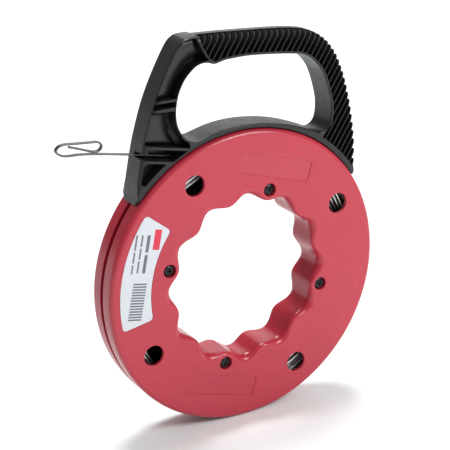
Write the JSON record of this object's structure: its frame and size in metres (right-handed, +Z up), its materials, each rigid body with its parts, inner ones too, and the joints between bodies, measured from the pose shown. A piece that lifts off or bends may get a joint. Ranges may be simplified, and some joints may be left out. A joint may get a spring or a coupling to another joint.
{
  "type": "fish tape reel",
  "caption": "Steel fish tape wound in a round two-part plastic reel with a scalloped finger opening; a ribbed carry handle runs round the rim and guides the hooked tape end.",
  "frame": {"origin": "on the floor, under the middle of the whole object's box, hook included; the reel stands upright on its rim with the handle on top", "axes": "+Z up, from the rim that stands on the floor to the top of the handle; +Y from the screw side of the reel to its plain rear face, along the reel's axis of turning; +X to the right as the screw side is looked at, so the hook points towards -X"},
  "size_m": [0.273, 0.0314, 0.3166],
  "materials": {
    "handle_plastic": "near-black moulded plastic, satin",
    "reel_plastic": "crimson moulded plastic, fine pebble texture on the faces, polished at the rim and finger opening",
    "screw_steel": "black oxide, satin",
    "label_film": "printed film, satin, plain bars and blocks only",
    "tape_steel": "spring steel, drawn finish, lightly oiled",
    "hook_steel": "spring steel darkened by heat where it was bent"
  },
  "bodies": {
    "handle": {"handle": "handle_plastic"},
    "reel": {"front_shell": "reel_plastic", "rear_shell": "reel_plastic", "case_screw_1": "screw_steel", "case_screw_2": "screw_steel", "case_screw_3": "screw_steel", "case_screw_4": "screw_steel", "label": "label_film", "tape_coil": "tape_steel"},
    "tape": {"tape_end": "hook_steel"}
  },
  "joints": [
    {"name": "reel_spin", "type": "hinge", "parent": "handle", "child": "reel", "pos_m": [0.01655, 0, 0.12], "axis": [0, 1, 0], "continuous": true},
    {"name": "tape_slide", "type": "slide", "parent": "handle", "child": "tape", "axis": [-0.9825, 0, 0.1865], "range_m": [-0.025, 0.09]}
  ]
}
